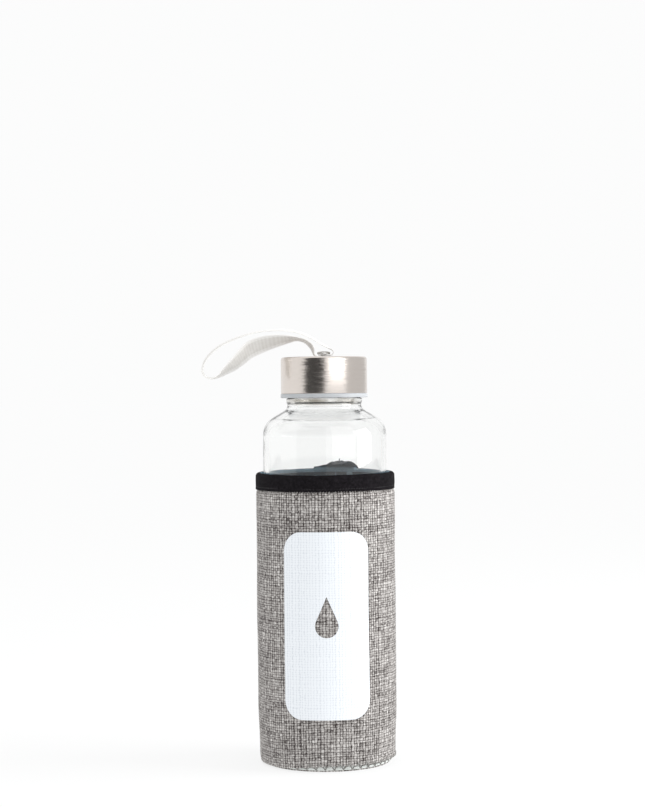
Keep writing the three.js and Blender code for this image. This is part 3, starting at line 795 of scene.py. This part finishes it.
def weave(across, along):
    """(height, tone) from 0 to 1 at a place on the cloth, given in millimetres."""
    wander = grain(vector(across, along), 0.3, 3.0, 0.6)
    drift = grain(vector(along, across, 7.0), 0.3, 3.0, 0.6)
    thick = grain(vector(across, 0.0, 11.0), 0.5, 2.0)
    thin = grain(vector(0.0, along, 13.0), 0.5, 2.0)
    wander = times_plus(wander, 1.5, times(thick, 2.4))
    drift = times_plus(drift, 1.3, times(thin, 2.0))
    a = sum_of("DIVIDE", plus(wander, across), WARP)
    b = sum_of("DIVIDE", plus(drift, along), WEFT)
    column = sum_of("FLOOR", a)
    row = sum_of("FLOOR", b)
    rise_a = wave(sum_of("FRACT", a), 2)
    rise_b = wave(sum_of("FRACT", b), 2)
    parity = sum_of("FLOORED_MODULO", plus(column, row), 2.0)

    def mixed(first, second):
        """The first where the upright yarn is on top, the second where the level one is."""
        both = times(parity, minus(second, first))
        return plus(first, both)

    up_yarn = times(sum_of("POWER", rise_a, 0.8), remap(rise_b, 0, 1, 0.45, 1))
    cross_yarn = times(sum_of("POWER", rise_b, 0.45), remap(rise_a, 0, 1, 0.4, 0.9))
    up_tone = grain(vector(times(column, 13.7), along), 0.12, 3.0, 0.7)
    cross_tone = grain(vector(across, times(row, 13.7), 5.0), 0.12, 3.0, 0.7)
    return mixed(up_yarn, cross_yarn), mixed(up_tone, cross_tone)


def linen_surface(shader, across, along):
    """Colours and bumps of the weave: painted shade darkens the gaps between the yarns, and the yarns are
    lightest on top.
    """
    height, tone = weave(across, along)
    streak = grain(vector(across, times(along, 0.12)), 0.45, 4.0, 0.7)
    loose = grain(vector(across, along, 9.0), 0.55, 2.0, 0.6)
    closed = times(minus(0.75, height), remap(loose, 0.42, 0.62, 0.55, 0.0))
    height = plus(height, closed)
    level = times(height, remap(tone, 0.32, 0.68, 0.6, 1.2))
    level = times(level, remap(streak, 0.3, 0.7, 0.82, 1.1))
    fibre = grain(vector(across, along, 3.0), 2.2, 3.0, 0.7)
    level = plus(level, remap(fibre, 0.25, 0.75, -0.12, 0.12))
    # The ramp paints shade: darkest down in the gaps between the yarns and lightest on their tops. Each
    # yarn's own tone and streaks vary it.
    ramp = next_node("ShaderNodeValToRGB", {0: level})
    stops = ramp.color_ramp.elements
    stops[0].position = 0.3
    stops[0].color = (*LINEN_GAP_SHADE, 1)
    stops[1].position = 0.95
    stops[1].color = (*LINEN_LIGHT, 1)
    stops.new(0.6).color = (*LINEN_MIDDLE, 1)
    shader.id_data.links.new(ramp.outputs[0], shader.inputs["Base Color"])
    bump(shader, level, 0.4, 0.8)


# %% Linen look
linen, tree, shader = finish("linen_cloth", LINEN_MIDDLE, 0.9, Sheen_Weight=0.1, Sheen_Roughness=0.4)
shader.inputs["Specular IOR Level"].default_value = 0.25
linen_surface(shader, *cloth_mm(tree, cloth_flat[0] / MM, cloth_flat[1] / MM))
dress(cloth, linen, "sleeve", "linen_cloth", "sleeve_fabric")

# %% Foam and lining
foam_finish, tree, shader = finish("pale_foam", (0.62, 0.64, 0.62), 0.85)
pores = node(tree, "ShaderNodeTexVoronoi", {"Vector": object_mm(tree), "Scale": 2.6}).outputs["Distance"]
paint(shader, remap(pores, 0.0, 0.5), (0.58, 0.62, 0.60), (0.82, 0.85, 0.83))
bump(shader, pores, 0.2, 0.7)
dress(foam, foam_finish, "sleeve", "pale_foam", "sleeve_foam")

knit, tree, shader = finish("black_knit", (0.018, 0.02, 0.032), 0.8, Sheen_Weight=0.3)
across, along = cloth_mm(tree, cloth_flat[0] / MM, cloth_flat[1] / MM)
wales = wave(across, 0.8)
rows = times_plus(wales, 0.5, times(along, math.pi / 0.7))
courses = sum_of("ABSOLUTE", sum_of("SINE", rows))
loops = times_plus(wales, 0.4, courses)
paint(shader, remap(loops, 0.0, 1.2), (0.03, 0.042, 0.055), (0.11, 0.145, 0.175))
bump(shader, loops, 0.15, 0.8)
dress(lining, knit, "sleeve", "black_knit", "sleeve_lining")

# %% [markdown]
# ## The tape over the rim
# A black tape is folded over the wall's raw top edge and sewn through. It grips the wall, so the cloth is
# squeezed under it, and each stitch pulls a small dimple. Where the tape's two ends meet at the back, they
# are folded up into a soft lump with a stray end of thread.

# %% Tape
TAPE = 0.6
TAPE_INNER_LEG = 6.3
STITCH_UP = 1.35  # height of the sewing above the tape's lower edge
STITCHES = 150
tape_inside = lining_radius - 1.05
tape_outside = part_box("top_binding")[1].x / MM


def tape_place(across, angle, grow=0.0, rise=0.0, inner_leg=TAPE_INNER_LEG):
    """(radius, z) on the tape's outer face, across from its inside leg's foot, 0, to the outside one's, 1."""
    fold = (tape_outside - tape_inside) / 2 + grow / 2
    middle = (tape_outside + tape_inside) / 2 + grow / 2
    outer_leg = tape_top - fold - tape_foot
    bend = math.pi * fold
    at = across * (inner_leg + bend + outer_leg)
    top = tape_top - fold + rise - rim_dip(angle)
    if at < inner_leg:
        return middle - fold, top - inner_leg + at - rise * (1 - at / inner_leg)
    if at < inner_leg + bend:
        turn = (at - inner_leg) / fold
        return middle - fold * math.cos(turn), top + fold * math.sin(turn)
    down = at - inner_leg - bend
    return middle + fold, top - down - rise * down / outer_leg


def tape_point(u, v):
    """The tape, dimpled where it is sewn."""
    angle = SEAM + u * 2 * math.pi
    beat = math.cos(u * 2 * math.pi * STITCHES)
    radius, z = tape_place(v, angle)
    if v > 0.5:
        line = (z - (tape_foot + STITCH_UP - rim_dip(angle))) / 0.45
        pull = math.exp(-line * line) * (0.6 + 0.4 * beat)
        radius += 0.1 * round_noise(angle, 6, z * 0.35) - 0.18 * pull
        z += 0.25 * ease((v - 0.85) / 0.15) * beat
    return around(angle, radius, z)


tape = bent_grid("rim_tape", 900, 34, tape_point)
close_up(tape)
modify(tape, "SOLIDIFY", thickness=TAPE * MM, offset=-1)
smooth(close_up(tape), 60)

# %% The tape's folded ends
LAP = 27  # how far they reach round the rim
LAP_RISE = 4.0


def lap_point(u, v):
    """The two ends, folded up over the seam into a lump that is higher on one side."""
    angle = SEAM + (u - 0.5) * LAP / tape_outside
    lift = min(1.0, u / 0.14) ** 0.7 * (0.8 - 0.72 * ease((u - 0.42) / 0.58))
    lift *= 1 + 0.3 * noise.noise(Vector((u * 9, 0.3, 1.0))) + 0.12 * noise.noise(Vector((u * 40, 4.0, 1.0)))
    radius, z = tape_place(v, angle, 0.7, LAP_RISE * lift, 5.0)
    crease = 0.25 * noise.noise(Vector((u * 7, v * 4, 5.5)))
    return around(angle, radius + crease, z)


lap = bent_grid("tape_ends", 70, 34, lap_point)
modify(lap, "SOLIDIFY", thickness=TAPE * MM, offset=-1)
smooth(close_up(lap), 60)

# %% Black tape
tape_finish, tree, shader = finish("black_tape", (0.011, 0.0095, 0.012), 0.9, Specular_IOR_Level=0.08)
axes = axes_mm(tree)
turn = times(sum_of("ARCTAN2", axes[0], axes[1]), tape_outside)
rib = wave(times_plus(axes[2], 0.8, turn), 0.7)
weft = times_plus(wave(axes[2], 0.5), 0.5, rib)
tone = times_plus(weft, 0.2, grain(object_mm(tree), 0.7, 5.0, 0.8))
outside = remap(from_axis(axes), tape_inside + 0.9, tape_inside + 1.8)
# Painted light: the tape is black on both faces, but its inside leg, in shade between the sleeve and the
# glass, is painted light blue-grey as a painted reflection of the glass in front of it. Above the rim it
# fades back to near black.
painted_inside_reflection = between(tone, (0.12, 0.19, 0.25), (0.36, 0.48, 0.56))
over_rim = remap(axes[2], tape_top - 0.3, tape_top + 1.0)
painted_inside_reflection = between(over_rim, painted_inside_reflection, (0.008, 0.013, 0.02))
black = between(remap(tone, 0.4, 0.8), (0.0008, 0.0006, 0.0008), (0.03, 0.026, 0.031))
paint(shader, outside, painted_inside_reflection, black)
bump(shader, tone, 0.2, 1.0)
dress(tape, tape_finish, "sleeve", "black_tape", "top_binding")
dress(lap, tape_finish, "sleeve", "black_tape")

# %% [markdown]
# ## Sewing thread
# Three rows of thread hold the sleeve together: short stitches along the tape, a grey zigzag round the foot
# that joins wall and base, and another up the back. Each is a two-ply thread along its own line of points.


# %% Sew the three rows
def sew(name, points, radius, material, slot, replaced, closed=False):
    """Lays a thread along the points, on the sleeve."""
    return dress(thread(name, points, radius, closed), material, "sleeve", slot, *replaced)


def zigzag(i, steps):
    """From 1 to -1 and back in twice this many steps, straight but for a small round turn at each end."""
    return 2 / math.pi * math.asin(0.985 * math.cos(math.pi * i / steps))


def tape_row():
    """Points of a running stitch: it lies on the tape for most of each stitch, then dips into it."""
    points = []
    steps = 6
    for i in range(STITCHES * steps):
        u = i / (STITCHES * steps)
        angle = SEAM + u * 2 * math.pi
        phase = math.cos(2 * math.pi * i / steps)
        out = tape_outside - 0.2 - 0.4 * max(0.0, phase) ** 2
        points.append(around(angle, out, tape_foot + STITCH_UP - rim_dip(angle)))
    return points


BASE_STITCHES = 44
BACK_STITCH = 2.6
BACK_START = 2.5  # from the cloth's foot up to the first stitch


def foot_row():
    """Zigzag from the base disc's edge up on to the cloth, with a small round turn at each end."""
    points = []
    steps = 12
    edge = base_radius - 2.4
    for i in range(BASE_STITCHES * 2 * steps):
        at = i / (BASE_STITCHES * 2 * steps)
        angle = SEAM + at * 2 * math.pi
        up = (1 - zigzag(i, steps)) / 2
        z = 0.95 + up * 3.7 + 0.2 * noise.noise(Vector((at * 60, 1.7, 0)))
        hem = foot_edge(angle)
        over = cloth_surface(angle, max(z, hem)) + 0.12 - 1.5 * ease(-1.6 * math.sin(angle) - 0.3)
        points.append(around(angle, edge + (over - edge) * ease(z - hem + 1), z))
    return points


def back_row():
    """Zigzag across the back seam, from the foot to the tape."""
    points = []
    steps = 10
    rows = int((tape_foot - 3 - (cloth_foot + BACK_START)) / BACK_STITCH)
    for i in range(rows * 2 * steps + 1):
        z = cloth_foot + BACK_START + i / (2 * steps) * BACK_STITCH
        angle = SEAM + zigzag(i, steps) * 1.9 / cloth_radius
        points.append(around(angle, cloth_surface(angle, z) + 0.1, z))
    return points


def plied(name, color, light):
    """A thread's finish, fluffy between two colours."""
    made, tree, shader = finish(name, color, 0.8, Sheen_Weight=0.2)
    fluff = grain(object_mm(tree), 4.0, 4.0, 0.7)
    paint(shader, fluff, color, light)
    bump(shader, fluff, 0.05, 0.6)
    return made


grey_thread = plied("grey_thread", (0.20, 0.195, 0.185), (0.34, 0.33, 0.315))
black_thread = plied("black_thread", (0.003, 0.0026, 0.003), (0.014, 0.012, 0.014))
sew("tape_stitches", tape_row(), 0.2, black_thread, "black_tape", ["binding_stitch"], closed=True)
sew("foot_stitches", foot_row(), 0.3, grey_thread, "grey_thread", ["base_stitch"], closed=True)
sew("back_stitches", back_row(), 0.25, grey_thread, "grey_thread", ["seam_stitch"])
tail_foot = around(SEAM - 0.055, tape_outside - 1.2, tape_top + LAP_RISE * 0.8 - 0.7)
tail = [tail_foot + Vector((0.15 * math.sin(k * 0.8), 0.05 * k, 0.31 * k)) * MM for k in range(9)]
sew("loose_thread", tail, 0.24, black_thread, "black_tape", [])

# %% [markdown]
# ## The base
# The bottle stands on a round of foam between cloth below and lining above. Its pale cut edge shows all
# round the foot, under the cloth. The foam is turned like the bottle, then its edge is made a little uneven.

# %% Base disc
pad_low, pad_high, pad_radius = span("base_fabric")
top_low, top_high, top_radius = span("base_lining")


def disc(name, low, high, radius, rounding, unevenness):
    """A turned disc whose edge is a little uneven."""
    corners = [(0, low, 0), (radius, low, rounding), (radius, high, rounding), (0, high, 0)]
    piece = turned(name, corners, steps=160)
    start_edit(piece)
    bpy.ops.mesh.poke()
    bpy.ops.object.mode_set(mode="OBJECT")
    for vertex in piece.data.vertices:
        reach = math.hypot(vertex.co.x, vertex.co.y)
        if reach > radius * MM / 2:
            swell = 1 + unevenness / radius * noise.noise(vertex.co / MM * 0.35)
            vertex.co.x *= swell
            vertex.co.y *= swell
    return piece


base_pad = disc("base_padding", base_low, base_high, base_radius - 2.5, 0.6, 0.35)
base_cloth = disc("base_underside", pad_low, pad_high, pad_radius - 2.8, 0.3, 0.25)
base_top = disc("base_inner", top_low, top_high, top_radius - 3, 0.15, 0.1)
dress(base_pad, foam_finish, "sleeve", "pale_foam", "base_foam")
flat_linen, tree, shader = finish("linen_underside", LINEN_MIDDLE, 0.9, Sheen_Weight=0.1, Sheen_Roughness=0.4)
axes = axes_mm(tree)
linen_surface(shader, plus(axes[0], 60), plus(axes[1], 60))
dress(base_cloth, flat_linen, "sleeve", "linen_cloth", "base_fabric")
dress(base_top, knit, "sleeve", "black_knit", "base_lining")

# %% [markdown]
# ## The print
# A matt white panel is screen-printed on the front, with a plain water-drop left open in it. The panel starts
# flat: a square whose corners are bevelled round, bridged to a drop-shaped loop in its middle. It is cut into
# narrow strips, so that it can bend, and then laid on the cloth's own surface.

# %% Printed panel
print_low, print_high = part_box("front_print")
panel_foot = print_low.z / MM
panel_top = print_high.z / MM
panel_half = math.asin(print_high.x / MM / cloth_radius) * cloth_radius
CORNER = 10
CORNER_CUTS = 12
loop_count = 4 * (CORNER_CUTS + 1)
DROP = 6  # radius of the drop
POINT = 15  # from the drop's middle up to its point
print(f"panel {panel_half * 2:.1f} x {panel_top - panel_foot:.1f} mm")

panel = plane("printed_panel", size=2, rotation=(math.pi / 2, 0, 0))
panel.scale = (panel_half * MM, (panel_top - panel_foot) / 2 * MM, 1)
bpy.ops.object.transform_apply(location=False, rotation=True, scale=True)
start_edit(panel)
bpy.ops.mesh.bevel(affect="VERTICES", offset=CORNER * MM, segments=CORNER_CUTS)
bpy.ops.mesh.delete(type="ONLY_FACE")
bpy.ops.mesh.select_all(action="DESELECT")
bpy.ops.mesh.primitive_circle_add(vertices=loop_count, radius=DROP * MM, rotation=(math.pi / 2, 0, 0))
bpy.ops.object.mode_set(mode="OBJECT")

# %% Shape the drop, bridge and bend
STRIP = 1.4  # width of the upright strips that the panel is cut into
BAND = 4  # height of its level bands
PRINT = 0.12  # thickness of the ink
lean = math.acos(DROP / POINT)
shoulder_of_drop = Vector((math.sin(lean) * DROP, math.cos(lean) * DROP))
for vertex in panel.data.vertices:
    if vertex.select:
        bearing = math.atan2(vertex.co.x, vertex.co.z)
        if abs(bearing) < lean:
            share = abs(bearing) / lean
            reach = shoulder_of_drop * share + Vector((0, POINT)) * (1 - share)
            vertex.co.x = math.copysign(reach.x, bearing) * MM
            vertex.co.z = reach.y * MM
start_edit(panel)
bpy.ops.mesh.bridge_edge_loops()
for way, cuts, gap in ((Vector((1, 0, 0)), 15, STRIP), (Vector((0, 0, 1)), 12, BAND)):
    for k in range(-cuts, cuts + 1):
        bpy.ops.mesh.select_all(action="SELECT")
        bpy.ops.mesh.bisect(plane_co=way * ((k + 0.5) * gap * MM), plane_no=way)
bpy.ops.object.mode_set(mode="OBJECT")
middle = (panel_foot + panel_top) / 2
for vertex in panel.data.vertices:
    angle = vertex.co.x / MM / cloth_radius
    z = middle + vertex.co.z / MM
    vertex.co = around(angle, cloth_surface(angle, z) + 0.16, z)
modify(panel, "SOLIDIFY", thickness=PRINT * MM, offset=0)
modify(panel, "TRIANGULATE")
smooth(close_up(panel), 50)

# %% White ink
ink, tree, shader = finish("white_ink", (0.9, 0.92, 0.95), 0.6, Specular_IOR_Level=0.3)
axes = axes_mm(tree)
turn = sum_of("ARCTAN2", axes[0], times(axes[1], -1.0))
across = times(plus(turn, 2 * math.pi - SEAM), cloth_radius)
height = weave(across, minus(axes[2], cloth_foot))[0]
# Painted shade: the ink is darker over the hollows of the weave beneath it.
paint(shader, remap(height, 0.05, 0.5), (0.66, 0.70, 0.75), (0.865, 0.90, 0.94))
bump(shader, height, 0.12, 0.4)
dress(panel, ink, "sleeve", "white_ink", "front_print")

# %% [markdown]
# ## Studio
# A pale floor runs under a white surround. A large soft light stands to the right of the bottle. Polished
# steel and clear glass only show what is around them, so three cards stand where they need something to
# mirror: a dark and a grey one for the steel's darker bands, and a bright one for its highlight. The camera
# doesn't see the cards themselves.

# %% Floor and surround
scene = bpy.context.scene
scene.view_settings.view_transform = "Standard"
SURROUND = (0.972, 0.974, 0.974)
FLOOR = 0.2  # share of light that the floor sends back. It glows for the rest, to melt into the surround.
floor = plane("floor", size=60, location=(0, 20, 0))
floor_finish, tree, shader = finish("white_floor", (FLOOR, FLOOR, FLOOR), 1.0, Specular_IOR_Level=0.0)
shader.inputs["Emission Color"].default_value = (*SURROUND, 1)
shader.inputs["Emission Strength"].default_value = 1 - FLOOR
floor.data.materials.append(floor_finish)

scene.world = bpy.data.worlds.new("studio")
scene.world.use_nodes = True
background = scene.world.node_tree.nodes["Background"]
background.inputs["Color"].default_value = (*SURROUND, 1)
background.inputs["Strength"].default_value = 1.0


def card(name, bearing, distance, width, height, foot, glow):
    """An upright card that faces the bottle, at a bearing from its front, seen only in reflections."""
    angle = math.radians(bearing)
    place = Vector((math.sin(angle) * distance, -math.cos(angle) * distance, foot + height / 2))
    made = plane(name, size=1, location=place, rotation=(math.pi / 2, 0, angle))
    made.scale = (width, height, 1)
    light = {"Emission_Color": (1, 1, 1, 1), "Emission_Strength": glow, "Specular_IOR_Level": 0}
    made.data.materials.append(finish(name, (0, 0, 0), 1.0, **light)[0])
    for rays in ("camera", "diffuse", "shadow", "transmission"):
        setattr(made, f"visible_{rays}", False)
    print(f"{name} at {bearing} degrees")


card("dark_card", -25.5, 0.7, 0.72, 1.2, -0.1, 0.05)
card("softbox_glow", 36, 0.8, 0.67, 1.0, 0.2, 2.2)
card("grey_card", 100, 0.8, 1.44, 1.2, 0.0, 0.68)

# %% Soft light and camera
bpy.ops.object.light_add(type="AREA", location=(1.0, -0.1, 0.5))
key = bpy.context.object
key.data.shape = "SQUARE"
key.data.size = 0.7
key.data.energy = 9.5
key.visible_glossy = False
key_aim = Vector((0, 0, 0.1)) - key.location
key.rotation_euler = key_aim.to_track_quat("-Z", "Y").to_euler()

camera_data = bpy.data.cameras.new("camera")
camera = bpy.data.objects.new("camera", camera_data)
scene.collection.objects.link(camera)
camera_data.lens = 87
camera_data.sensor_width = 36
camera.location = (-0.85 * MM, -1.03, 0.193)
camera.rotation_euler = (math.radians(89.75), math.radians(0.65), 0)
scene.camera = camera
print(f"camera with a {camera_data.lens:.0f} mm lens")

# %% Finish
bpy.context.view_layer.update()
